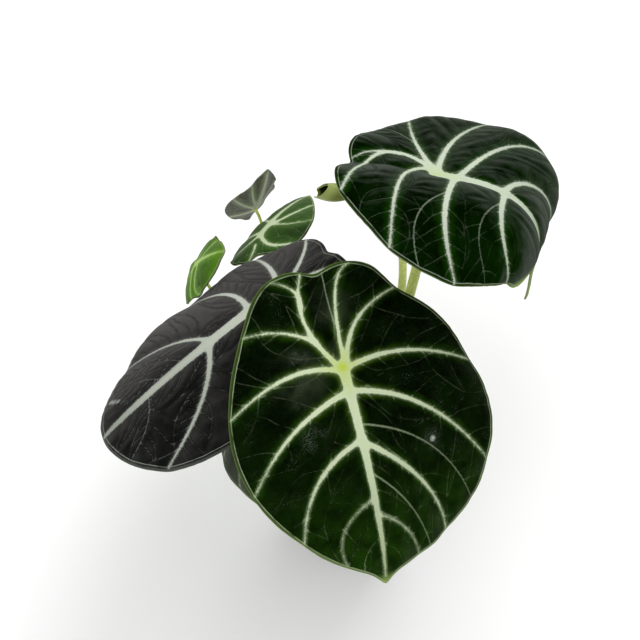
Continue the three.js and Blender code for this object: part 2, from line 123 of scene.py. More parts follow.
class Value:
    def __init__(self, finish, socket):
        self.finish = finish
        self.socket = socket

    def maths(self, operation, a, b):
        return self.finish.node("Math", {"operation": operation}, {0: a, 1: b})

    def __add__(self, other):
        return self.maths("ADD", self, other)

    def __radd__(self, other):
        return self.maths("ADD", other, self)

    def __sub__(self, other):
        return self.maths("SUBTRACT", self, other)

    def __rsub__(self, other):
        return self.maths("SUBTRACT", other, self)

    def __mul__(self, other):
        return self.maths("MULTIPLY", self, other)

    def __rmul__(self, other):
        return self.maths("MULTIPLY", other, self)

    def most(self, other):
        return self.maths("MAXIMUM", self, other)

    def fit(self, low, high):
        settings = {"interpolation_type": "SMOOTHSTEP"}
        return self.finish.node("MapRange", settings, {"Value": self, 1: low, 2: high})


class Finish:
    def __init__(self, name):
        self.material = bpy.data.materials.new(name)
        self.material.use_nodes = True
        self.tree = self.material.node_tree
        self.shader = self.tree.nodes["Principled BSDF"]

    def node(self, kind, settings=None, sockets=None, out=0):
        node = self.tree.nodes.new("ShaderNode" + kind)
        for key, value in (settings or {}).items():
            setattr(node, key, value)
        for key, value in (sockets or {}).items():
            self.put(node.inputs[key], value)
        return Value(self, node.outputs[out])

    def put(self, socket, value):
        if isinstance(value, Value):
            self.tree.links.new(value.socket, socket)
        else:
            socket.default_value = value

    def mix(self, factor, a, b):
        return self.node("Mix", {"data_type": "RGBA"}, {0: factor, 6: a, 7: b}, 2)

    def layers(self, color, *layers):
        """Lays each tint over the colour in turn, by its own amount."""
        for amount, tint in layers:
            color = self.mix(amount, color, tint)
        return color

    def leaf(self):
        return self.node("UVMap", {"uv_map": "leaf"})

    def attribute(self, name):
        return self.node("Attribute", {"attribute_name": name}, out=2)

    def place(self):
        return self.node("TexCoord", out=3)

    def noise(self, where, scale, detail=3.0, roughness=0.5):
        sockets = {"Vector": where, "Scale": scale, "Detail": detail, "Roughness": roughness}
        return self.node("TexNoise", None, sockets)

    def cells(self, where, scale, feature="DISTANCE_TO_EDGE"):
        return self.node("TexVoronoi", {"feature": feature}, {"Vector": where, "Scale": scale})

    def stretched(self, where, along_z):
        return self.node("Mapping", None, {"Vector": where, "Scale": (1, 1, along_z)})

    def spots(self, where, places):
        """One inside small round places on the leaf, given in millimetres, and fading at the rim."""
        total = 0.0
        for s, t, radius in places:
            centre = {0: where, 1: (s * LEAF_UV, t * LEAF_UV, 0)}
            away = self.node("VectorMath", {"operation": "DISTANCE"}, centre, 1)
            total = total + (1 - away.fit(0.2 * radius * LEAF_UV, radius * LEAF_UV))
        return total

    def bump(self, height, strength, distance):
        sockets = {"Height": height, "Strength": strength, "Distance": distance}
        return self.node("Bump", None, sockets)

    def set(self, **sockets):
        for key, value in sockets.items():
            self.put(self.shader.inputs[key.replace("_", " ")], value)
        return self.material


def rgb(red, green, blue):
    def linear(c):
        c = c / 255
        return c / 12.92 if c <= 0.04045 else ((c + 0.055) / 1.055) ** 2.4

    return (linear(red), linear(green), linear(blue), 1.0)


# %% [markdown]
# Every blade follows one description, in millimetres and degrees, the same as in the packed
# model: where its stalk joins, how it is turned, how its midrib droops, how each half folds and
# curls, and how far its margin lies from the joint, each thirty degrees round. Veins are short
# curved lines on the flat blade: start along and across, end round the margin, bow, where the
# bow sits, and half width at the start.

# %% Blades
BLADE_THICKNESS = 0.9
RIM_ROLL = 0.9
RIM_ROLL_WIDTH = 2.2
FURROW_DEPTH = 1.0
FURROW_WIDTH = 7
LOBES_IN_WAVE = 7
WAVE_START = 1.3
PUCKER_DEPTH = 0.28
PUCKER_WIDTH = 2.4
NOTCH_WIDTH = 9
KNOT_STEP = 30
STEPS_ALONG = 24
LARGE_HALF_WIDTH = 50
CROWN_TOP = 84
STALK_RING = 8.2
STALK_DEPTH = 11
MARGIN_INSET = 1.1
SHARED = dict(
    sway=0, curl_tip=(0, 0), tail=4, tail_width=6, midrib_fade=0.9, taper=0.5,
    inset=MARGIN_INSET, fine_spacing=13, fillet=1.5,
)
BLADES = {
    "front": dict(
        at=(-9, -33, 192.5), yaw=-70, pitch=-36, roll=9, length=99, half_width=50,
        droop=(13, 16), fold=(1, 1), curl=(9, 12), curl_tip=(-3, 0),
        tip=97, left=(95, 82, 63, 49, 49), right=(79, 65, 52.5, 47, 50), back=46,
        tail=7, tail_width=3, notch=3, midrib=2.3, midrib_fade=0.75, taper=0.33, wave=1.1, grid=200,
        stalk=dict(ring=-80, radius=2.4, rise=45, arch=(0, -14, 146)),
        veins=(
            (0, -1, -171, 0.33, 0.6, 1.4), (-13.5, -9, -121, -0.2, 0.5, 1.0),
            (1.5, -1, -80.5, -0.26, 0.4, 1.45), (11, 0, -50, -0.21, 0.5, 1.5),
            (33, 0, -26, -0.34, 0.5, 1.45), (60, 0, -11, -0.5, 0.6, 0.7),
            (79, 0, -6, -0.4, 0.55, 0.35), (-30, -11, -154, -0.41, 0.34, 0.9),
            (-19, 2, 176, 0.05, 0.5, 0.35),
            (5, 1, 159, 0.25, 0.9, 1.1), (-2.5, 3, 127, 0.32, 0.41, 1.3),
            (1, 1, 78.5, 0.19, 0.43, 1.4), (11, 0, 45.5, 0.23, 0.43, 1.45),
            (26, 0, 33, 0.27, 0.5, 0.45), (34, 0, 21.5, 0.22, 0.6, 1.4),
            (48, 0, 15, 0.16, 0.5, 0.4), (68, 0, 11, 0.25, 0.5, 0.6),
        ),
    ),
    "left": dict(
        at=(-40.5, 46.5, 155.5), yaw=-137, pitch=-5, roll=-22, length=116, half_width=48,
        droop=(8, 11), sway=-10, fold=(1, 4), curl=(8, 15), curl_tip=(-11, 1),
        tip=115.5, left=(111.5, 85, 61, 48, 38), right=(97, 84, 72, 58, 48), back=37.5,
        tail=2, tail_width=12, notch=2, midrib=3.8, midrib_fade=0.5, wave=1.1, grid=220,
        fine_spacing=6.5, fillet=0.8, inset=1.9,
        stalk=dict(ring=190, radius=2.3, rise=30, under=35),
        veins=(
            (0, 0, -110, -0.09, 0.5, 1.8), (-8, 0, -149, -0.1, 0.7, 1.5),
            (20, 0, -67, -0.27, 0.5, 1.8), (45, 0, -27, -0.25, 0.5, 1.5),
            (62, 0, -19, -0.25, 0.5, 0.35), (76, 0, -13, -0.25, 0.5, 0.4),
            (0, 0, 150, 0.1, 0.6, 1.6), (0, 0, 110, 0.1, 0.5, 1.8),
            (18, 0, 62, 0.25, 0.5, 2.0), (47, 0, 26, 0.2, 0.5, 1.6),
            (87, 0, 14, 0.29, 0.5, 0.2),
        ),
    ),
    "right": dict(
        at=(37, 62, 220), yaw=-14.5, pitch=-1, roll=23, length=77.5, half_width=50,
        droop=(-14, 133), sway=-1, fold=(-8.5, -2.5), curl=(1.5, 22), curl_tip=(-4, 10),
        tip=69, left=(80.5, 78.5, 71.5, 59, 51.5), right=(84.5, 82, 74, 59, 52), back=45.5,
        tail=26, tail_width=3, notch=3, midrib=3.2, midrib_fade=0.3, taper=0.42, wave=1.3, grid=220,
        fine_spacing=9, fillet=0.95,
        stalk=dict(ring=-20, radius=2.8, rise=45, under=75),
        veins=(
            (-1, 3, -98.5, -0.34, -0.1, 1.5), (7, -20, -87, -0.29, 0.5, 0.35),
            (9, -2, -72, -0.2, 0.65, 1.7), (34, 0, -38, -0.5, 0.7, 1.7),
            (33, -14, -56, -0.46, 0.6, 0.35), (-2, 4, -138, -0.93, -0.05, 1.7),
            (-21, 15, 175, -0.29, 0.45, 0.9), (-1, 4, 112, 0.1, 0.5, 1.4),
            (-14, 29, 128, -0.1, 0.5, 0.4),
            (0, 3, 77, 0.18, 0.6, 1.6), (10, 0, 54, 0.21, 0.8, 1.6),
            (33, 0, 31, 0.31, 0.5, 1.7),
        ),
    ),
    "back": dict(
        at=(-54.5, 120.5, 120), yaw=60, pitch=8, roll=28, length=47, half_width=25,
        droop=(29, 0), fold=(6, 6), curl=(38, 17),
        tip=45, left=(35, 30, 31.5, 26, 24), right=(37, 30.5, 25.5, 20, 18), back=25,
        notch=1.5, midrib=2.0, wave=0.6, grid=110,
        stalk=dict(ring=112, radius=1.6, rise=12, arch=(-42, 108, 92)),
        veins=(
            (8, -1, -17, -0.12, 0.5, 1.2), (-1, -2, -88, -0.45, 0.4, 1.4),
            (-8, -2, -165, 0.1, 0.5, 0.9), (10, 0, -45, -0.25, 0.5, 0.7),
            (0, 0, 140, 0.1, 0.5, 1.0), (2, 0, 80, 0.2, 0.5, 1.2),
            (12, 0, 35, 0.25, 0.5, 1.0),
        ),
    ),
    "far": dict(
        at=(-59.5, 153, 110.5), yaw=-35, pitch=64, roll=15, length=33, half_width=27.5,
        droop=(-18, 0), fold=(-16, -13), curl=(-12, -18),
        tip=34, left=(24.5, 20, 20.5, 18, 14.5), right=(25.5, 23, 20, 15.5, 13), back=14,
        notch=1, midrib=1.6, wave=0.4, grid=90,
        stalk=dict(ring=84, radius=1.1, rise=12, arch=(-46, 146, 72)),
        veins=(
            (3, 0, -18, -0.08, 0.5, 0.9), (3, -2, -50, -0.1, 0.5, 1.1),
            (0, 0, -110, -0.1, 0.5, 1.0), (3, 0, 30, 0.2, 0.5, 0.8),
            (0, 0, 90, 0.1, 0.5, 1.0),
        ),
    ),
    "side": dict(
        at=(-92, 103.5, 113), yaw=-41, pitch=57, roll=-25, length=36, half_width=25,
        droop=(24, 0), fold=(3, 11), curl=(13, 16),
        tip=33, left=(23, 20.5, 20, 20, 15.5), right=(29.5, 26, 21.5, 24, 14.5), back=14.5,
        tail=1.5, notch=1, midrib=1.5, wave=0.5, grid=90,
        stalk=dict(ring=142, radius=1.1, rise=8, arch=(-80, 90, 82)),
        veins=(
            (-4, -2, -94, -0.15, 0.5, 1.0), (5, -1, -59, -0.55, 0.75, 0.9),
            (0, 0, -150, -0.1, 0.5, 0.7), (0, 0, 140, 0.1, 0.5, 0.7),
            (2, 0, 80, 0.2, 0.5, 0.9), (8, 0, 35, 0.25, 0.5, 0.8),
        ),
    ),
    "low": dict(
        at=(-48.5, -1, 107.5), yaw=-80, pitch=-25, roll=-25, length=55, half_width=25,
        droop=(25, 0), fold=(4, 4), curl=(12, 14),
        tip=52, left=(44, 36, 29, 24, 22), right=(44, 36, 29, 24, 22), back=20,
        notch=1.5, midrib=1.3, wave=0.6, grid=110,
        stalk=dict(ring=238, radius=1.8, rise=12, under=14),
        veins=(
            (0, 0, 140, 0.1, 0.5, 0.6), (2, 0, 80, 0.2, 0.5, 0.7), (14, 0, 35, 0.25, 0.5, 0.6),
            (0, 0, -140, -0.1, 0.5, 0.9), (0, -1, -62, -0.3, 0.5, 1.1),
            (8, -1, -34, -0.3, 0.5, 1.0), (24, 0, -16, -0.25, 0.5, 0.8),
        ),
    ),
}
BLADES = {name: {**SHARED, **own} for name, own in BLADES.items()}
print(len(BLADES), "blades")

# %% [markdown]
# The margin is a smooth closed curve through its knots, with a drip tip and a shallow notch
# between the back lobes. The flat blade is then bent: along its midrib in short steps, and
# across it along an arc, so lengths on the blade stay true.

# %% Form of a blade
def margin_radius(blade, angle):
    knots = np.array([blade["tip"], *blade["left"], blade["back"], *blade["right"][::-1]])
    turn = np.mod(angle, 2 * np.pi)
    place = turn / np.radians(KNOT_STEP)
    first = np.floor(place).astype(int)
    u = place - first
    a, b, c, d = (knots[(first + step) % len(knots)] for step in (-1, 0, 1, 2))
    curve = 0.5 * (2 * b + (c - a) * u + (2 * a - 5 * b + 4 * c - d) * u**2)
    curve = curve + 0.5 * (3 * b - a - 3 * c + d) * u**3
    from_tip = np.degrees(np.minimum(turn, 2 * np.pi - turn)) / blade["tail_width"]
    from_back = np.degrees(np.abs(turn - np.pi)) / NOTCH_WIDTH
    return curve + blade["tail"] * np.exp(-(from_tip**1.5)) - blade["notch"] * np.exp(-(from_back**2))


def blade_frame(blade):
    yaw, pitch, roll = np.radians([blade["yaw"], blade["pitch"], blade["roll"]])
    along = np.array([np.cos(yaw) * np.cos(pitch), np.sin(yaw) * np.cos(pitch), np.sin(pitch)])
    up = np.array([-np.cos(yaw) * np.sin(pitch), -np.sin(yaw) * np.sin(pitch), np.cos(pitch)])
    across = np.cross(up, along)
    normal = np.cos(roll) * up + np.sin(roll) * across
    left = np.cos(roll) * across - np.sin(roll) * up
    return along, left, normal


def blade_bend(blade, x):
    drooped = np.clip(x, 0, blade["tip"] / blade["length"])
    return np.radians(blade["droop"][0] * drooped + blade["droop"][1] * drooped**2)


def blade_sheet(blade, s, t):
    along, left, normal = blade_frame(blade)
    middle = (np.arange(STEPS_ALONG) + 0.5) / STEPS_ALONG
    x = s[:, None] * middle / blade["length"]
    bend = blade_bend(blade, x)
    lean = np.radians(blade["sway"] * x)
    step = s[:, None] / STEPS_ALONG
    forth = (np.cos(lean) * np.cos(bend) * step).sum(1)
    sink = (np.cos(lean) * np.sin(bend) * step).sum(1)
    aside = (np.sin(lean) * step).sum(1)
    point = np.array(blade["at"]) + forth[:, None] * along - sink[:, None] * normal
    point = point + aside[:, None] * left
    x = s / blade["length"]
    bend = blade_bend(blade, x)[:, None]
    lean = np.radians(blade["sway"] * x)[:, None]
    forward = np.cos(bend) * along - np.sin(bend) * normal
    up = np.cos(bend) * normal + np.sin(bend) * along
    side = np.cos(lean) * left - np.sin(lean) * forward
    half = (t < 0).astype(int)
    slope = np.radians(np.array(blade["fold"])[half])
    turn = np.array(blade["curl"])[half] + np.array(blade["curl_tip"])[half] * x
    turn = np.radians(turn) / blade["half_width"]
    turn = np.where(np.abs(turn) < 1e-6, 1e-6, turn)
    out = (np.sin(slope + turn * np.abs(t)) - np.sin(slope)) / turn
    down = (np.cos(slope) - np.cos(slope + turn * np.abs(t))) / turn
    return point + (np.sign(t) * out)[:, None] * side - down[:, None] * up


def blade_normal(blade, s, t):
    step = 0.5
    ds = blade_sheet(blade, s + step, t) - blade_sheet(blade, s - step, t)
    dt = blade_sheet(blade, s, t + step) - blade_sheet(blade, s, t - step)
    normal = np.cross(ds, dt)
    return normal / np.linalg.norm(normal, axis=1)[:, None]


# %% [markdown]
# The pale lines that make this plant are real lines in the mesh's data. Each vein is a short
# polyline on the flat blade with a half width along it. For every vertex the script keeps how
# deep it lies inside a main vein and inside a fine one, in millimetres, and how far it is from
# the margin. The shader cuts those values off sharply, so a vein stays crisp on a modest mesh.

# %% Veins
MIDRIB_END = 0.28
FINE_START = 0.28
FINE_END = 0.14
THIN_VEIN = 0.5
CRISP = 16
ROUNDING = 0.42
LINE_REACH = 12
LONGEST_PATH = 60


def arc(a, b, c, u):
    return (1 - u) ** 2 * a + 2 * u * (1 - u) * b + u**2 * c


def vein_line(blade, vein):
    start_s, start_t, end, bow, hold, width = vein
    angle = np.radians(end)
    radius = float(margin_radius(blade, angle))
    reach = radius - blade["inset"] * size_of(blade)
    ds = reach * np.cos(angle) - start_s
    dt = reach * np.sin(angle) - start_t
    bow_s = start_s + hold * ds - bow * dt
    bow_t = start_t + hold * dt + bow * ds
    u = np.linspace(0, 1, 20)
    s = arc(start_s, bow_s, start_s + ds, u)
    t = arc(start_t, bow_t, start_t + dt, u)
    return np.stack([s, t], 1), width * (1 - (1 - blade["taper"]) * u)


def size_of(blade):
    return (blade["half_width"] / LARGE_HALF_WIDTH) ** 0.5


def midrib_line(blade):
    s = np.linspace(-0.06 * blade["back"], blade["tip"] + 0.4 * blade["tail"], 40)
    u = np.clip(s / blade["tip"], 0, 1)
    width = blade["midrib"] * ((1 - u) ** blade["midrib_fade"] * 0.84 + MIDRIB_END)
    width = np.where(s < 0, width * (1 + s / (0.08 * blade["back"])), width)
    return np.stack([s, 0 * s], 1), width


def from_margin_vein(blade, angle, radius):
    """A thin vein runs inside the margin, swung out where the main veins reach it."""
    ends = np.array([0.0] + [vein[2] for vein in blade["veins"]])
    turn = np.degrees(angle)[:, None] - ends
    gap = np.abs((turn + 180) % 360 - 180).min(1)
    inset = blade["inset"] + 0.5 * (1 - np.exp(-gap / 6))
    return margin_radius(blade, angle) - radius - inset * size_of(blade)


def depth_in(lines, s, t, blend):
    """How far each point lies inside the lines, with a fillet where they meet, and its distance."""
    total = np.zeros(len(s))
    nearest = np.full(len(s), 1e3)
    for points, widths in lines:
        low = points.min(0) - LINE_REACH
        high = points.max(0) + LINE_REACH
        near = (s > low[0]) & (s < high[0]) & (t > low[1]) & (t < high[1])
        where = np.stack([s[near], t[near]], 1)
        best = np.full(len(where), -1e3)
        gap = np.full(len(where), 1e3)
        for a, b, wa, wb in zip(points[:-1], points[1:], widths[:-1], widths[1:]):
            run = b - a
            u = np.clip(((where - a) @ run) / max(run @ run, 1e-9), 0, 1)
            distance = np.hypot(*(where - a - u[:, None] * run).T)
            width = wa + (wb - wa) * u
            inside = np.hypot(width, ROUNDING) - np.hypot(distance, ROUNDING)
            best = np.maximum(best, inside)
            gap = np.minimum(gap, distance)
        total[near] += np.exp(np.clip(best * blend, -60, 60))
        nearest[near] = np.minimum(nearest[near], gap)
    return np.log(np.maximum(total, 1e-26)) / blend, nearest


def fine_path(blade, start, heading, turn, size, solid, draw):
    """A side vein grows in small steps, straightening, until it meets another or the margin."""
    path = [start]
    here = start
    for step in range(LONGEST_PATH):
        heading -= turn * 0.02 + 0.2 * (draw.random() - 0.5)
        here = here + size * np.array([math.cos(heading), math.sin(heading)])
        path.append(here)
        edge = margin_radius(blade, math.atan2(here[1], here[0])) - np.linalg.norm(here)
        if edge < (MARGIN_INSET + 0.4) * size_of(blade):
            break
        if step > 3 and np.min(np.hypot(*(solid - here).T)) < 0.9 * size:
            break
    return np.array(path)


def fine_lines(blade, main, seed):
    """Side veins leave each main vein at even steps and run out until they meet another."""
    draw = random.Random(seed)
    size = size_of(blade) ** 1.4
    spacing = blade["fine_spacing"] * size
    solid = np.concatenate([points for points, _ in main])
    lines = []
    for points, _ in main:
        steps = np.linalg.norm(np.diff(points, axis=0), axis=1)
        run = np.concatenate([[0], np.cumsum(steps)])
        for side in (-1, 1):
            at = spacing * (0.3 + 0.5 * draw.random())
            while at < run[-1] * 0.9:
                here, ahead = (
                    np.array([np.interp(place, run, points[:, k]) for k in (0, 1)])
                    for place in (at, at + 1)
                )
                turn = side * math.radians(50 + 16 * draw.random())
                heading = math.atan2(*(ahead - here)[::-1]) + turn
                path = fine_path(blade, here, heading, turn, size, solid, draw)
                at += spacing * (0.75 + 0.5 * draw.random())
                if len(path) > 6:
                    lines.append((path, np.linspace(FINE_START, FINE_END, len(path)) * size))
                    solid = np.concatenate([solid, path])
    return lines


# %% [markdown]
# Relief follows the veins: the blade sinks into a furrow along each main vein, swells to a
# pillow between them, and puckers between the side veins. The rim rolls down, and the edge
# waves a little. A square grid is squeezed into a disc, scaled to the margin, bent and lifted.
# Solidify then gives it its thickness.

# %% Relief
def relief(blade, q, angle, to_main, to_fine):
    scale = blade["half_width"] / LARGE_HALF_WIDTH
    pillow = 1 - np.exp(-((to_main / (FURROW_WIDTH * scale)) ** 2))
    pucker = 1 - np.exp(-((to_fine / (PUCKER_WIDTH * scale**0.7)) ** 2))
    to_margin = (1 - q) * margin_radius(blade, angle)
    wave = blade["wave"] * q**3 * np.sin(LOBES_IN_WAVE * angle + WAVE_START)
    roll = RIM_ROLL * scale * np.exp(-to_margin / RIM_ROLL_WIDTH)
    return FURROW_DEPTH * scale * (pillow - 0.5) + wave - roll + PUCKER_DEPTH * scale * pucker * pillow


def disc_of(x, y):
    """Squeezes a square grid into a round one without folds."""
    u = x * np.sqrt(1 - y**2 / 2)
    v = y * np.sqrt(1 - x**2 / 2)
    return np.hypot(u, v), np.arctan2(v, u)


def mesh_of(maker, name):
    mesh = bpy.data.meshes.new(name)
    maker.to_mesh(mesh)
    maker.free()
    return mesh


def face_outward(mesh, weld=0):
    maker = bmesh.new()
    maker.from_mesh(mesh)
    if weld:
        bmesh.ops.remove_doubles(maker, verts=maker.verts, dist=weld)
    bmesh.ops.recalc_face_normals(maker, faces=maker.faces)
    maker.to_mesh(mesh)
    maker.free()


def grid_mesh(name, across, along):
    maker = bmesh.new()
    bmesh.ops.create_grid(maker, x_segments=across, y_segments=along, size=1.0)
    return mesh_of(maker, name)


def corners(mesh):
    flat = np.empty(len(mesh.vertices) * 3)
    mesh.vertices.foreach_get("co", flat)
    return flat.reshape(-1, 3)


def keep_values(mesh, **values):
    for name, value in values.items():
        layer = mesh.attributes.new(name, "FLOAT", "POINT")
        layer.data.foreach_set("value", np.asarray(value, np.float32))


def keep_leaf_place(mesh, across, along):
    layout = mesh.uv_layers.new(name="leaf")
    loops = np.empty(len(mesh.loops), int)
    mesh.loops.foreach_get("vertex_index", loops)
    layout.data.foreach_set("uv", np.stack([across, along], 1)[loops].ravel())


def move_corners(mesh, places):
    mesh.vertices.foreach_set("co", (places * MM).ravel())


def dress(name, mesh, *finishes):
    for finish in finishes:
        mesh.materials.append(finish)
    mesh.shade_smooth()
    return link(name, mesh)


def thicken(piece, thickness, rim=0):
    wall = piece.modifiers.new("thickness", "SOLIDIFY")
    wall.thickness = thickness * MM
    wall.offset = 0
    wall.material_offset = 1
    wall.material_offset_rim = rim


def build_blade(name, top, under, rim=1):
    blade = BLADES[name]
    mesh = grid_mesh("blade_" + name, blade["grid"], blade["grid"])
    flat = corners(mesh)
    q, angle = disc_of(flat[:, 0], flat[:, 1])
    radius = q * margin_radius(blade, angle)
    s = radius * np.cos(angle)
    t = radius * np.sin(angle)
    main = [midrib_line(blade)]
    main += [vein_line(blade, vein) for vein in blade["veins"] if vein[5] >= THIN_VEIN]
    thin = [vein_line(blade, vein) for vein in blade["veins"] if vein[5] < THIN_VEIN]
    fine = fine_lines(blade, main + thin, len(name) * 7 + 3)
    in_main, to_main = depth_in(main, s, t, blade["fillet"])
    in_thin, _ = depth_in(thin, s, t, CRISP)
    in_fine, to_fine = depth_in(fine + thin, s, t, CRISP)
    normal = blade_normal(blade, s, t)
    lift = relief(blade, q, angle, to_main, to_fine)
    move_corners(mesh, blade_sheet(blade, s, t) + lift[:, None] * normal)
    edge = (1 - q) * margin_radius(blade, angle)
    rim_line = from_margin_vein(blade, angle, radius)
    keep_values(mesh, main=in_main, thin=in_thin, fine=in_fine, edge=edge, rim=rim_line)
    keep_values(mesh, from_stalk=radius, tip=s / blade["tip"])
    keep_leaf_place(mesh, s * LEAF_UV, t * LEAF_UV)
    piece = dress("blade_" + name, mesh, top, under)
    thicken(piece, BLADE_THICKNESS, rim)
    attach(piece, "root")
    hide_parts("leaf_" + name)
    print(name, len(mesh.vertices), "vertices,", len(fine), "fine veins")


# %% [markdown]
# The blades are velvet: tiny cells on the skin catch light at a flat angle, so the same leaf is
# almost black seen from the front and charcoal seen along it. That sheen is painted: a facing
# weight mixes a grey nap colour into the base colour, with less of it in the creases beside the
# side veins, which paints their shade, and glare spots paint a few patches of sheen in set places.
# Veins have feathered edges, because the pale tissue ends cell by cell, and a green glow beside
# them. A thin pale line runs inside the rim, and the rim is a lighter band.

# %% Finish of the blades
NAP_SHEEN = (0.83, 0.82, 0.82, 1)


def blade_finish(
    name, dark, light, beside, sheen_nap, vein, root, rim, gloss,
    fine=0.5, dust=0.0, flat=(0.1, 0.75), glow_reach=6.0, glow_depth=0.7, sheen=0.02,
    tail=rgb(140, 162, 92), pucker=0.6, crease_shade=0.6, feather=1.0,
    dusty=(), scuffed=(), glare=(), ripe=(),
):
    f = Finish(name)
    leaf = f.leaf()
    wobble = f.noise(leaf, 70, 2)
    teeth = f.noise(leaf, 130, 2, 0.7)
    cloud = f.noise(leaf, 5, 3, 0.6)
    patch = f.noise(leaf, 14, 2)
    grain = f.noise(leaf, 260, 2, 0.6)
    ragged = ((wobble - 0.5) * 0.6 + (teeth - 0.5) * 1.3) * feather
    inside = f.attribute("main") + (f.noise(leaf, 22, 2) - 0.5) * 0.6
    far = f.attribute("from_stalk")
    main = (inside + ragged - 0.1).fit(-0.22, 0.3)
    fringe = (inside + ragged * 1.6).fit(-1.0, 0.2)
    glow = (inside + (patch - 0.5) * 5).fit(-glow_reach, 0.2)
    side = (f.attribute("fine") + (wobble - 0.5) * 0.3).fit(-0.16, 0.12)
    thin = (f.attribute("thin") + ragged * 0.4).fit(-0.25, 0.2)
    line = f.attribute("rim") + (wobble - 0.5) * 0.4
    line = 1 - line.most(line * -1).fit(0.05, 0.36)
    edge = f.attribute("edge")
    band = 1 - (edge + (wobble - 0.5) * 0.8).fit(0.6, 1.7)
    lip = 1 - edge.fit(0.1, 0.4)
    cells = f.cells(leaf, 34)
    netting = 1 - cells.fit(0.02, 0.08)
    along = f.attribute("tip")
    tip = along.fit(0.3, 1.0)
    halo = (inside + (patch - 0.5) * 2).fit(-2.4, 0.0) * far.fit(38, 4)
    facing = f.node("LayerWeight", None, {"Blend": 0.5}, 1)
    # Crease follows the furrows beside the side veins: it dents the bump, and in the colour it takes sheen
    # away, painting their shade.
    crease = (f.attribute("fine") + (wobble - 0.5) * 0.8).fit(-0.9, 0.0) * patch.fit(0.2, 0.6)
    mottle = (cloud - 0.5) * 0.12 + (patch - 0.5) * 0.2 + (grain - 0.5) * 0.16
    # Painted sheen: a grey nap colour mixed in by the facing weight, with less of it in the creases as
    # painted shade.
    velvet_sheen = (facing + mottle).fit(*flat) * (1 - crease * crease_shade)
    color = f.layers(
        f.mix(cloud.fit(0.35, 0.7), dark, light),
        ((glow * glow_depth).most(tip * patch.fit(0.1, 0.8) * 0.6), beside),
        (halo * 0.35, f.mix(0.18, beside, root)),
        (netting * (0.25 * fine), beside),
        (side * patch.fit(0.25, 0.65) * fine, f.mix(0.22, beside, vein)),
        (velvet_sheen, sheen_nap),
    )
    if glare:
        color = f.mix(f.spots(leaf, glare) * cloud.fit(0.3, 0.7) * 0.6, color, sheen_nap)
    spur = (f.attribute("fine") + (wobble - 0.5) * 0.4).fit(-0.35, 0.05) * inside.fit(-1.6, -0.2)
    hair = side * patch.fit(0.3, 0.6) * (fine * 0.3)
    color = f.layers(
        color,
        (thin * 0.8, f.mix(0.38, beside, vein)),
        (hair, f.mix(0.4, sheen_nap, vein)),
        (fringe * 0.5, f.mix(0.3, beside, vein)),
        (spur * 0.45, f.mix(0.5, beside, vein)),
        (band * 0.75, f.mix(tip * 0.5, rim, tail)),
    )
    if ripe:
        ripened = f.spots(leaf, ripe) * (1 - (edge + (patch - 0.5) * 4).fit(1.0, 6.0))
        color = f.mix(ripened * 0.8, color, rgb(146, 166, 44))
    near = 1 - (far + (wobble - 0.5) * 4).fit(0.5, 3.6)
    pale = f.layers(
        vein,
        (far.fit(25, 75) * 0.25 + grain.fit(0.45, 0.8) * 0.25, beside),
        (inside.fit(1.4, 2.4) * 0.3, f.mix(0.5, vein, root)),
        (far.fit(16, 2) * 0.45, root),
        (near * 0.9, root),
        (along.fit(0.7, 1.0) * 0.4, tail),
    )
    color = f.layers(
        color,
        (lip * 0.5, f.mix(0.5, rim, tail)),
        (line * patch.fit(0.2, 0.55) * 0.6, f.mix(0.6, beside, vein)),
        (main * 0.95, pale),
        (along.fit(1.0, 1.07) * 0.8, tail),
    )
    if dust:
        grit = f.noise(leaf, 330, 2, 0.6)
        specks = grit.fit(0.66, 0.72) * f.noise(leaf, 11, 2).fit(0.52, 0.62)
        if dusty:
            specks = specks.most(grit.fit(0.6, 0.66) * f.spots(leaf, dusty) * patch.fit(0.4, 0.55))
        color = f.mix(specks * dust, color, rgb(150, 158, 146))
    if scuffed:
        color = f.mix(f.spots(leaf, scuffed) * grain.fit(0.35, 0.6) * 0.75, color, rgb(176, 182, 174))
    height = crease * -pucker + side * -0.6 + grain * 0.2 + cells * 0.8
    return f.set(
        Base_Color=color,
        Roughness=0.5 + grain * 0.16,
        Normal=f.bump(height, 0.3, 0.0005),
        Specular_IOR_Level=gloss,
        Sheen_Weight=sheen,
        Sheen_Roughness=0.34,
        Sheen_Tint=NAP_SHEEN,
    )


def underside_finish(name, skin, vein):
    f = Finish(name)
    leaf = f.leaf()
    cloud = f.noise(leaf, 8)
    grain = f.noise(leaf, 160, 2)
    inside = f.attribute("main")
    main = (inside + (grain - 0.5) * 0.4).fit(-0.25, 0.25)
    side = f.attribute("fine").fit(-0.2, 0.12)
    cells = f.cells(leaf, 30)
    netting = 1 - cells.fit(0.015, 0.08)
    color = f.layers(
        skin,
        (cloud, f.mix(0.3, skin, rgb(20, 24, 14))),
        (inside.fit(-3.0, 0.0) * 0.3, vein),
        (netting * 0.1 + side * 0.25, vein),
        (main * 0.9, vein),
    )
    height = main * 1.5 + side * 0.6 + netting * 0.3 + grain * 0.15
    return f.set(Base_Color=color, Roughness=0.5 + grain * 0.1, Normal=f.bump(height, 0.5, 0.0006))


green_top = blade_finish(
    "velvet_green", rgb(2, 7, 0), rgb(8, 24, 2), rgb(33, 66, 5), rgb(60, 68, 52),
    rgb(204, 217, 180), rgb(182, 202, 66), rgb(58, 80, 34), gloss=0.01, fine=0.17, dust=0.9,
    flat=(0.22, 0.8), glow_reach=3.6, glow_depth=0.45, sheen=0.006, feather=0.7,
    dusty=((27, -21, 9), (-9, -18, 7), (43, 34, 8)), scuffed=((43, 34.5, 2.2), (43, 34.5, 1.6)),
    glare=((0, -21, 17), (-7, -2, 7), (-27, 2, 13)),
)
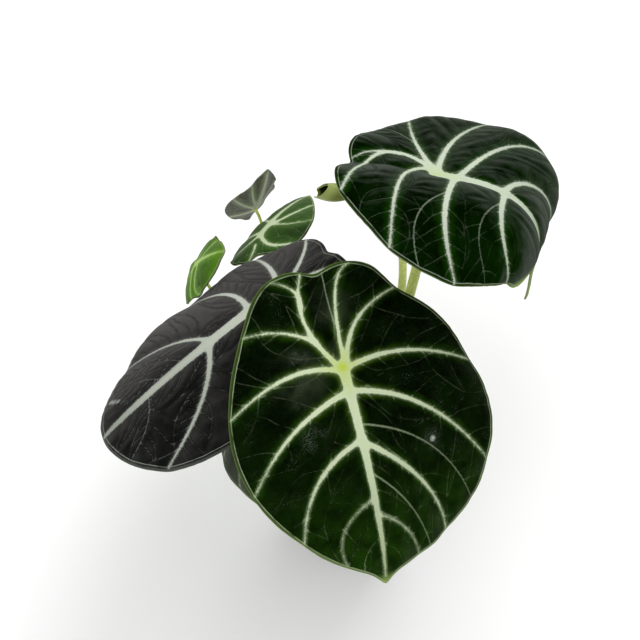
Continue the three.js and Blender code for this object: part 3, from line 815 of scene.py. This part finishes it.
# A grey copy of the green velvet for the left blade: its charcoal base colours paint the sheen that blade
# shows at a flat angle.
sheen_grey_top = blade_finish(
    "velvet_sheen_grey", rgb(6, 6, 6), rgb(12, 12, 12), rgb(26, 27, 25), rgb(78, 76, 74),
    rgb(184, 190, 178), rgb(184, 194, 158), rgb(40, 43, 39), gloss=0.015, dust=0.6, flat=(0.24, 0.92),
    sheen=0.01, pucker=1.3, crease_shade=0.65, feather=1.25, tail=rgb(104, 108, 98),
    dusty=((103, -18, 8), (96, -10, 6)), scuffed=((104, -19.5, 2.4), (102.5, -17, 2.6), (100.5, -14, 2.2)),
)
right_top = blade_finish(
    "velvet_right", rgb(2, 11, 0), rgb(5, 24, 1), rgb(18, 50, 3), rgb(72, 78, 70),
    rgb(192, 202, 182), rgb(184, 198, 146), rgb(26, 46, 14), gloss=0.0, fine=0.2, dust=0.6,
    flat=(0.44, 0.85), glow_reach=5.0, sheen=0.002, pucker=1.3, feather=1.2, ripe=((80, -29, 12),),
)
young_top = blade_finish(
    "satin_young", rgb(18, 38, 5), rgb(36, 64, 15), rgb(56, 92, 28), rgb(72, 94, 50),
    rgb(190, 204, 168), rgb(188, 202, 158), rgb(6, 14, 2), gloss=0.08, flat=(0.2, 0.95),
)
bright_top = blade_finish(
    "satin_bright", rgb(20, 46, 1), rgb(60, 102, 4), rgb(88, 134, 14), rgb(80, 116, 30),
    rgb(160, 188, 112), rgb(165, 195, 90), rgb(14, 32, 2), gloss=0.08, flat=(0.5, 1.0),
)
# Greyed olive base colours, which paint the sheen the far blade shows at a flat angle; the low blade uses
# the same finish.
olive_sheen_top = blade_finish(
    "satin_olive_sheen", rgb(30, 34, 28), rgb(42, 46, 38), rgb(54, 60, 48), rgb(84, 88, 78),
    rgb(126, 138, 112), rgb(150, 165, 110), rgb(30, 36, 28), gloss=0.12,
)
pale_under = underside_finish("underside_pale", rgb(114, 128, 86), rgb(172, 186, 140))
olive_under = underside_finish("underside_olive", rgb(82, 88, 70), rgb(190, 200, 168))

build_blade("front", green_top, pale_under)
build_blade("left", sheen_grey_top, pale_under, rim=0)
build_blade("right", right_top, pale_under)
build_blade("back", young_top, pale_under)
build_blade("far", olive_sheen_top, olive_under)
build_blade("side", bright_top, pale_under)
build_blade("low", olive_sheen_top, pale_under)

# %% [markdown]
# A stalk is a round, slightly tapered tube that stands straight in the crown, leans out and
# flares where it meets its blade. Its last few millimetres turn square to the blade, so that
# it ends on the underside. A curve with a round bevel gives the tube, and is then made a mesh.

# %% Stalks
STALK_STEPS = 1 - (1 - np.linspace(0, 1, 56)) ** 1.6
SQUARE_END = 9


def bezier(points):
    u = STALK_STEPS[:, None]
    a, b, c, d = (np.array(p, float) for p in points)
    return (1 - u) ** 3 * a + 3 * u * (1 - u) ** 2 * b + 3 * u**2 * (1 - u) * c + u**3 * d


def evaluated_mesh(piece):
    bpy.context.view_layer.update()
    return bpy.data.meshes.new_from_object(piece.evaluated_get(bpy.context.evaluated_depsgraph_get()))


def tube_mesh(name, points, radii):
    data = bpy.data.curves.new(name, "CURVE")
    data.dimensions = "3D"
    data.bevel_depth = 1.0
    data.bevel_resolution = 5
    data.use_fill_caps = True
    spline = data.splines.new("POLY")
    spline.points.add(len(points) - 1)
    for knot, place, radius in zip(spline.points, points, radii):
        knot.co = (*(place * MM), 1)
        knot.radius = radius * MM
    curve = link(name, data)
    mesh = evaluated_mesh(curve)
    bpy.data.objects.remove(curve)
    face_outward(mesh, weld=1e-7)
    mesh.name = name
    return mesh


def stalk_base(stalk):
    angle = math.radians(stalk["ring"])
    x, y = STALK_RING * math.cos(angle), STALK_RING * math.sin(angle)
    return np.array([x, y, CROWN_TOP - STALK_DEPTH])


def stalk_points(blade):
    normal = blade_frame(blade)[2]
    furrow = 0.5 * FURROW_DEPTH * blade["half_width"] / LARGE_HALF_WIDTH
    joint = np.array(blade["at"]) - (furrow + 0.3) * normal
    stalk = blade["stalk"]
    base = stalk_base(stalk)
    above = np.array([base[0], base[1], CROWN_TOP + stalk["rise"]])
    below = np.array(stalk["arch"]) if "arch" in stalk else joint - stalk["under"] * normal
    points = bezier((base, above, below, joint))
    left = np.linalg.norm(points - joint, axis=1)[:, None]
    square = joint - left * normal
    return points + np.clip(1 - left / SQUARE_END, 0, 1) * (square - points)


def stalk_radii(radius):
    u = STALK_STEPS
    return radius * (1.08 - 0.2 * u + 0.3 * np.exp(-u / 0.05) + 0.25 * np.exp((u - 1) / 0.02))


def stalk_finish():
    f = Finish("stalk_skin")
    where = f.place()
    streak = f.noise(f.stretched(where, 0.12), 900)
    cloud = f.noise(where, 60, 2)
    color = f.mix(streak.fit(0.35, 0.7), rgb(178, 192, 92), rgb(206, 214, 128))
    color = f.mix(cloud.fit(0.45, 0.75) * 0.4, color, rgb(150, 168, 76))
    return f.set(
        Base_Color=color,
        Roughness=0.36 + streak * 0.15,
        Normal=f.bump(streak, 0.25, 0.0003),
        Subsurface_Weight=0.15,
        Subsurface_Radius=(0.6, 1.0, 0.2),
        Subsurface_Scale=0.002,
    )


stalk_skin = stalk_finish()
for name, blade in BLADES.items():
    mesh = tube_mesh("petiole_" + name, stalk_points(blade), stalk_radii(blade["stalk"]["radius"]))
    piece = dress("petiole_" + name, mesh, stalk_skin)
    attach(piece, "root")
    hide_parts("stalk_" + name)
print(len(BLADES), "stalks")

# %% [markdown]
# The youngest leaf is still rolled, with its pale underside out. A sheet wound nearly one and a
# half times round a bent axis, wider in the middle, shows its free edge. Its mouth is cut
# aslant, so it opens upward and shows a thin green lip, and deeper in the inside is painted
# near black as shade.

# %% Rolled leaf
ROLLED = dict(
    tip=(-22, 161.5, 116), waist=(-10.5, 154.5, 123.5), heel=(1, 147, 127),
    tip_radius=3.6, waist_radius=6.2, heel_radius=2.4,
    stalk=dict(ring=38, radius=2.4, rise=40, lead=70),
)
ROLL_TURNS = 1.45
ROLL_SHEET = 0.5
ROLL_LENGTH = 28
ROLL_VEINS = 5.5
MOUTH_SIDE = (-0.58, -0.08, 0.81)
MOUTH_CUT = 0.46


def rolled_axis(u):
    a, b, c = (np.array(ROLLED[key], float) for key in ("tip", "waist", "heel"))
    u = u[:, None]
    way = 2 * (1 - u) * (b - a) + 2 * u * (c - b)
    return arc(a, b, c, u), way / np.linalg.norm(way, axis=1)[:, None]


def rolled_frame(u):
    point, way = rolled_axis(u)
    side = np.cross(way, (0, 0, 1.0))
    side = side / np.linalg.norm(side, axis=1)[:, None]
    return point, side, np.cross(side, way)


def build_rolled(skin, inside):
    mesh = grid_mesh("rolled_blade", 70, 150)
    flat = corners(mesh)
    u = (flat[:, 0] + 1) / 2
    v = (flat[:, 1] + 1) / 2
    _, side, up = rolled_frame(u)
    turn = 2 * np.pi * ROLL_TURNS * v + 0.6 + 0.9 * u
    out = np.cos(turn)[:, None] * side + np.sin(turn)[:, None] * up
    cut = MOUTH_CUT * np.maximum(out @ MOUTH_SIDE, 0)
    x = cut + (1 - cut) * u
    point, side, up = rolled_frame(x)
    ends = ROLLED["tip_radius"] + (ROLLED["heel_radius"] - ROLLED["tip_radius"]) * x
    belly = ROLLED["waist_radius"] - (ROLLED["tip_radius"] + ROLLED["heel_radius"]) / 2
    outer = ends + belly * np.sin(np.pi * x) - 0.5 * ROLL_SHEET
    lap = 0.9 * (1 - v) * ROLL_TURNS
    radius = np.maximum(outer - lap, 0.25 + 0.2 * v)
    out = np.cos(turn)[:, None] * side + np.sin(turn)[:, None] * up
    move_corners(mesh, point + radius[:, None] * out)
    veins = -np.abs(((v * ROLL_VEINS + 1.2 * u) % 1) - 0.5) * 6 + 0.35
    keep_values(mesh, main=veins, edge=(1 - v) * 40, mouth=u * ROLL_LENGTH)
    keep_leaf_place(mesh, u * 0.45, v * 0.35)
    face_outward(mesh)
    piece = dress("rolled_blade", mesh, skin, inside)
    thicken(piece, ROLL_SHEET)
    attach(piece, "root")
    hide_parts("leaf_rolled")
    print("rolled leaf", len(mesh.polygons), "faces")


def rolled_finish():
    f = Finish("rolled_skin")
    leaf = f.leaf()
    cloud = f.noise(leaf, 9)
    grain = f.noise(leaf, 120, 2)
    main = f.attribute("main").fit(-0.5, 0.4)
    rim = 1 - f.attribute("edge").fit(0.6, 1.8)
    from_mouth = f.attribute("mouth") + (cloud - 0.5) * 6
    color = f.mix(from_mouth.fit(5, 20), rgb(140, 152, 84), rgb(88, 98, 36))
    color = f.mix(main * 0.35, color, rgb(166, 176, 112))
    color = f.mix(rim * 0.6, color, rgb(70, 84, 26))
    return f.set(
        Base_Color=color,
        Roughness=0.45 + grain * 0.12,
        Normal=f.bump(main + grain * 0.3, 0.4, 0.0005),
        Specular_IOR_Level=0.2,
    )


def rolled_inside_finish():
    f = Finish("rolled_inside")
    cloud = f.noise(f.leaf(), 12)
    # Painted shade: deeper than the lip, the inside turns near black.
    shade_inside = (f.attribute("mouth") + (cloud - 0.5)).fit(1.0, 2.4)
    color = f.mix(cloud, rgb(70, 90, 12), rgb(98, 116, 24))
    color = f.mix(shade_inside, color, rgb(6, 12, 2))
    return f.set(
        Base_Color=color,
        Roughness=0.5 + cloud * 0.2,
        Normal=f.bump(cloud, 0.3, 0.0004),
        Specular_IOR_Level=0.1,
    )


def build_rolled_stalk():
    heel, way = (value[0] for value in rolled_axis(np.array([1.0])))
    stalk = ROLLED["stalk"]
    base = stalk_base(stalk)
    above = np.array([base[0], base[1], CROWN_TOP + stalk["rise"]])
    points = bezier((base, above, heel + stalk["lead"] * way, heel - 0.5 * way))
    mesh = tube_mesh("petiole_rolled", points, stalk_radii(stalk["radius"]))
    piece = dress("petiole_rolled", mesh, stalk_skin)
    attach(piece, "root")
    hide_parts("stalk_rolled")


build_rolled(rolled_finish(), rolled_inside_finish())
build_rolled_stalk()

# %% [markdown]
# The pot is a plain nursery pot. Its profile is spun round the axis, and drain holes are cut
# through the floor with one Boolean.

# %% Pot
POT_HEIGHT = 82
POT_RIM_RADIUS = 45
POT_BASE_RADIUS = 32
POT_WALL = 1.6
RIM_BAND = 11
RIM_PROUD = 1.4
DRAIN_HOLES = 6
DRAIN_RADIUS = 4
DRAIN_RING = 21
SOIL_TOP = 71


def pot_radius(z):
    return POT_BASE_RADIUS + (POT_RIM_RADIUS - RIM_PROUD - POT_BASE_RADIUS) * z / POT_HEIGHT


def spin_profile(name, profile, steps):
    maker = bmesh.new()
    verts = [maker.verts.new((r * MM, 0, z * MM)) for r, z in profile]
    edges = [maker.edges.new(pair) for pair in zip(verts[:-1], verts[1:])]
    bmesh.ops.spin(
        maker, geom=verts + edges, axis=(0, 0, 1), cent=(0, 0, 0),
        steps=steps, angle=2 * math.pi, use_merge=True, use_duplicate=False,
    )
    mesh = mesh_of(maker, name)
    face_outward(mesh, weld=1e-6)
    return mesh


def pot_finish():
    f = Finish("pot_plastic")
    where = f.place()
    scuff = f.noise(where, 70, 5, 0.65)
    fine = f.noise(where, 900, 2)
    color = f.mix(scuff.fit(0.45, 0.8) * 0.5, rgb(34, 34, 35), rgb(58, 57, 56))
    return f.set(
        Base_Color=color,
        Roughness=0.42 + scuff * 0.25,
        Normal=f.bump(fine, 0.15, 0.0003),
    )


def build_pot():
    band = POT_HEIGHT - RIM_BAND
    profile = [
        (0, 0), (POT_BASE_RADIUS - 1.5, 0), (POT_BASE_RADIUS - 0.4, 0.4), (POT_BASE_RADIUS, 1.5),
        (pot_radius(band - 1), band - 1), (pot_radius(band) + 0.3, band),
        (pot_radius(band) + RIM_PROUD, band + 0.5), (pot_radius(band) + RIM_PROUD + 0.1, band + 1.5),
        (POT_RIM_RADIUS - 0.1, POT_HEIGHT - 2), (POT_RIM_RADIUS, POT_HEIGHT - 0.9),
        (POT_RIM_RADIUS - 0.3, POT_HEIGHT - 0.2), (POT_RIM_RADIUS - 0.9, POT_HEIGHT),
        (pot_radius(POT_HEIGHT) - POT_WALL + 0.5, POT_HEIGHT),
        (pot_radius(POT_HEIGHT - 0.8) - POT_WALL, POT_HEIGHT - 0.8),
        (pot_radius(POT_WALL + 1) - POT_WALL, POT_WALL + 1),
        (pot_radius(POT_WALL) - POT_WALL - 1, POT_WALL), (0, POT_WALL),
    ]
    pot = link("nursery_pot", spin_profile("nursery_pot", profile, 128))
    maker = bmesh.new()
    for index in range(DRAIN_HOLES):
        angle = 2 * math.pi * index / DRAIN_HOLES
        place = Vector((math.cos(angle), math.sin(angle), 0)) * (DRAIN_RING * MM)
        bmesh.ops.create_cone(
            maker, cap_ends=True, segments=32, radius1=DRAIN_RADIUS * MM, radius2=DRAIN_RADIUS * MM,
            depth=4 * POT_WALL * MM, matrix=Matrix.Translation(place),
        )
    cutter = link("drains", mesh_of(maker, "drains"))
    cut = pot.modifiers.new("drain", "BOOLEAN")
    cut.object = cutter
    cut.operation = "DIFFERENCE"
    cut.solver = "EXACT"
    mesh = evaluated_mesh(pot)
    pot.modifiers.clear()
    pot.data = mesh
    bpy.data.objects.remove(cutter)
    mesh.materials.append(pot_finish())
    mesh.shade_smooth()
    mesh.set_sharp_from_angle(angle=math.radians(35))
    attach(pot, "root")
    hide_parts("pot")
    print("pot", len(mesh.polygons), "faces")


build_pot()

# %% [markdown]
# The mix is bark, peat and perlite. A lumpy disc with its rim drawn down fills the pot, and
# about a thousand small chips and grains lie on it. Each is a small sphere squashed and turned
# by a seeded draw, because loose grit has no two pieces alike.

# %% Potting mix
GAP = 0.35
CROWN_RADIUS = 11.5
SOIL_FLOOR = 4


def soil_height(x, y):
    lumps = np.sin(0.31 * x + 0.4) * np.sin(0.37 * y + 1) + 0.6 * np.sin(0.83 * x + 0.9 * y)
    small = 0.35 * np.sin(1.9 * x + 0.7) * np.sin(2.3 * y) + 0.2 * np.sin(3.7 * x - 2.9 * y)
    return SOIL_TOP - 0.6 + 0.45 * (lumps + small)


def soil_finish():
    f = Finish("potting_mix")
    where = f.place()
    crumbs = f.cells(where, 420, "F1")
    tone = f.noise(where, 160, 4, 0.65)
    color = f.mix(tone.fit(0.3, 0.7), rgb(34, 24, 17), rgb(72, 52, 36))
    color = f.mix((1 - crumbs.fit(0.1, 0.6)) * 0.4, color, rgb(92, 68, 46))
    return f.set(Base_Color=color, Roughness=0.9, Normal=f.bump(tone - crumbs, 0.9, 0.0012))


def chip_finish(name, dark, light):
    f = Finish(name)
    tone = f.noise(f.place(), 300, 4, 0.6)
    color = f.mix(tone.fit(0.3, 0.7), dark, light)
    return f.set(Base_Color=color, Roughness=0.85, Normal=f.bump(tone, 0.6, 0.0006))


def build_soil():
    mesh = grid_mesh("potting_mix", 110, 110)
    flat = corners(mesh)
    q, angle = disc_of(flat[:, 0], flat[:, 1])
    radius = q * (pot_radius(SOIL_TOP - 2) - POT_WALL - GAP - 0.1)
    x = radius * np.cos(angle)
    y = radius * np.sin(angle)
    move_corners(mesh, np.stack([x, y, soil_height(x, y)], 1))
    maker = bmesh.new()
    maker.from_mesh(mesh)
    rim = [edge for edge in maker.edges if edge.is_boundary]
    made = bmesh.ops.extrude_edge_only(maker, edges=rim)["geom"]
    low = [item for item in made if isinstance(item, bmesh.types.BMVert)]
    shrink = (pot_radius(SOIL_FLOOR) - POT_WALL - GAP - 0.3) / (pot_radius(SOIL_TOP) - POT_WALL - GAP)
    for vert in low:
        vert.co = (vert.co.x * shrink, vert.co.y * shrink, SOIL_FLOOR * MM)
    loop = [edge for edge in made if isinstance(edge, bmesh.types.BMEdge)]
    bmesh.ops.holes_fill(maker, edges=loop, sides=0)
    maker.to_mesh(mesh)
    maker.free()
    face_outward(mesh)
    piece = dress("potting_mix", mesh, soil_finish())
    mesh.set_sharp_from_angle(angle=math.radians(50))
    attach(piece, "root")
    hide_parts("soil")
    print("potting mix", len(mesh.polygons), "faces")


def scatter(name, count, size, squash, finish, seed):
    draw = random.Random(seed)
    maker = bmesh.new()
    outer = pot_radius(SOIL_TOP) - POT_WALL - 2.5
    for _ in range(count):
        angle = draw.uniform(0, 2 * math.pi)
        radius = math.sqrt(draw.uniform((CROWN_RADIUS + 2) ** 2, outer**2))
        x, y = radius * math.cos(angle), radius * math.sin(angle)
        z = float(soil_height(np.array(x), np.array(y)))
        grain = size * draw.uniform(0.5, 1.25)
        made = bmesh.ops.create_icosphere(maker, subdivisions=1, radius=1.0)["verts"]
        for vert in made:
            vert.co *= 1 + draw.uniform(-0.22, 0.22)
        shape = Matrix.Diagonal((grain, grain * squash[0], grain * squash[1], 1))
        turn = Euler([draw.uniform(-0.5, 0.5), draw.uniform(-0.5, 0.5), draw.uniform(0, 6.28)]).to_matrix()
        place = Matrix.Translation((x, y, z + 0.1 * grain))
        bmesh.ops.transform(maker, matrix=Matrix.Scale(MM, 4) @ place @ turn.to_4x4() @ shape, verts=made)
    mesh = mesh_of(maker, name)
    mesh.materials.append(finish)
    piece = link(name, mesh)
    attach(piece, "root")
    print(name, count)


build_soil()
bark = chip_finish("bark", rgb(58, 36, 22), rgb(118, 80, 50))
peat = chip_finish("peat", rgb(26, 18, 13), rgb(60, 43, 30))
white = chip_finish("perlite_white", rgb(205, 202, 192), rgb(238, 236, 228))
scatter("bark_chips", 420, 2.6, (0.55, 0.3), bark, seed=5)
scatter("peat_crumbs", 520, 1.3, (0.8, 0.7), peat, seed=11)
scatter("perlite", 110, 1.3, (0.85, 0.75), white, seed=17)

# %% [markdown]
# The stalks rise from the sheathed top of a corm. Old sheaths are papery and brown, newer ones
# green. A spun profile is pressed into ribs, and darker low down. The roots grow out of the
# corm into the mix, so they are swept tubes in the same mesh.

# %% Corm
CORM_BOTTOM = 44
ROOTS = 7
ROOT_RADIUS = 1.5
ROOT_REACH = 24


def root_points(number, u):
    angle = 2 * math.pi * (number + 0.25) / ROOTS
    out = np.array([math.cos(angle), math.sin(angle), 0])
    reach = ROOT_REACH - 3 * (number % 3)
    start = 6 * out + (0, 0, CORM_BOTTOM + 8 + 4 * (number % 2))
    knee = start + 0.7 * reach * out
    end = (reach - 2) * out + (0, 0, 12 + 5 * (number % 3))
    return arc(start, knee, end, u)


def corm_finish():
    f = Finish("corm_sheath")
    where = f.place()
    fibre = f.noise(f.stretched(where, 0.15), 700, 4, 0.6)
    height = f.node("SeparateXYZ", None, {0: where}, 2)
    high = (height + (fibre - 0.5) * 0.006).fit(0.073, 0.083)
    low_color = f.mix(fibre.fit(0.3, 0.7), rgb(70, 50, 30), rgb(124, 96, 60))
    high_color = f.mix(fibre.fit(0.3, 0.7), rgb(120, 126, 66), rgb(168, 166, 104))
    return f.set(
        Base_Color=f.mix(high, low_color, high_color),
        Roughness=0.7,
        Normal=f.bump(fibre, 0.6, 0.0006),
    )


def build_corm():
    profile = [
        (0, CORM_BOTTOM), (5, CORM_BOTTOM + 1), (10.5, CORM_BOTTOM + 9), (12.3, CORM_BOTTOM + 20),
        (CROWN_RADIUS, SOIL_TOP + 1), (CROWN_RADIUS - 0.2, CROWN_TOP - 4),
        (CROWN_RADIUS - 0.6, CROWN_TOP - 1.5), (CROWN_RADIUS - 1.6, CROWN_TOP),
        (7, CROWN_TOP + 0.4), (3.5, CROWN_TOP + 0.6), (1.6, CROWN_TOP + 2.6), (0, CROWN_TOP + 4),
    ]
    mesh = spin_profile("corm_sheaths", profile, 96)
    x, y, z = corners(mesh).T / MM
    angle = np.arctan2(y, x)
    rib = 1 - 0.035 * (0.5 + 0.5 * np.sin(9 * angle)) - 0.02 * np.sin(23 * angle + 1) ** 2
    move_corners(mesh, np.stack([x * rib, y * rib, z], 1))
    grown = bmesh.new()
    grown.from_mesh(mesh)
    u = np.linspace(0, 1, 24)
    for number in range(ROOTS):
        radii = ROOT_RADIUS * (1.2 - 0.5 * u) * (1 - 0.6 * u**30)
        root = tube_mesh("root", root_points(number, u[:, None]), radii)
        grown.from_mesh(root)
        bpy.data.meshes.remove(root)
    grown.to_mesh(mesh)
    grown.free()
    piece = dress("corm_sheaths", mesh, corm_finish())
    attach(piece, "root")
    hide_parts("corm")
    print("corm and", ROOTS, "roots,", len(mesh.polygons), "faces")


build_corm()

# %% [markdown]
# The floor is a wide pale plane, part of the studio and not of the object.

# %% Floor
FLOOR_HALF_WIDTH = 3000


def build_floor():
    mesh = grid_mesh("floor", 1, 1)
    move_corners(mesh, corners(mesh) * FLOOR_HALF_WIDTH)
    f = Finish("studio_floor")
    color = f.mix(f.noise(f.place(), 3, 2), (0.93, 0.93, 0.93, 1), (0.95, 0.95, 0.95, 1))
    mesh.materials.append(f.set(Base_Color=color, Roughness=0.9))
    link("floor", mesh)
    print("floor", 2 * FLOOR_HALF_WIDTH, "mm wide")


build_floor()
